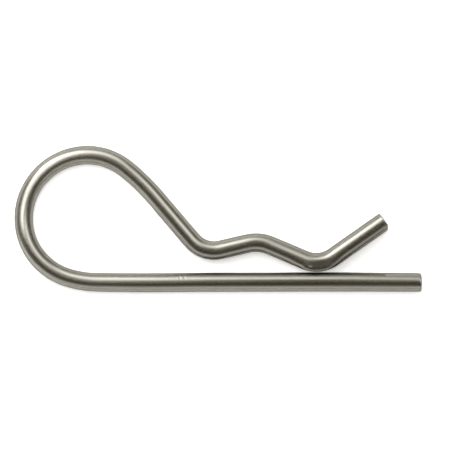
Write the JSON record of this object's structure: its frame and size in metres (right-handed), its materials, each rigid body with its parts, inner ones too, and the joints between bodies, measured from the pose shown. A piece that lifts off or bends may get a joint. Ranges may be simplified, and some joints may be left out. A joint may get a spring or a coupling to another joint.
{
  "type": "hitch r clip pin",
  "caption": "R-shaped hitch clip bent from one round spring wire: straight leg for a cross-hole, waved arm that grips the shaft, open loop that is the spring and finger pull.",
  "frame": {"origin": "centre of the shaft that the clip locks: on the straight leg's axis, below the arm's crest, in the plane of the wire's centreline", "axes": "+X along the straight leg to its cut end, +Y from the leg to the waved arm, +Z along the locked shaft; the clip lies flat on its -Z side"},
  "size_m": [0.0702, 0.025, 0.0032],
  "materials": {
    "spring_wire": "bright drawn spring wire with fine marks along its length"
  },
  "bodies": {
    "root": {"r_clip": "spring_wire"}
  },
  "joints": []
}
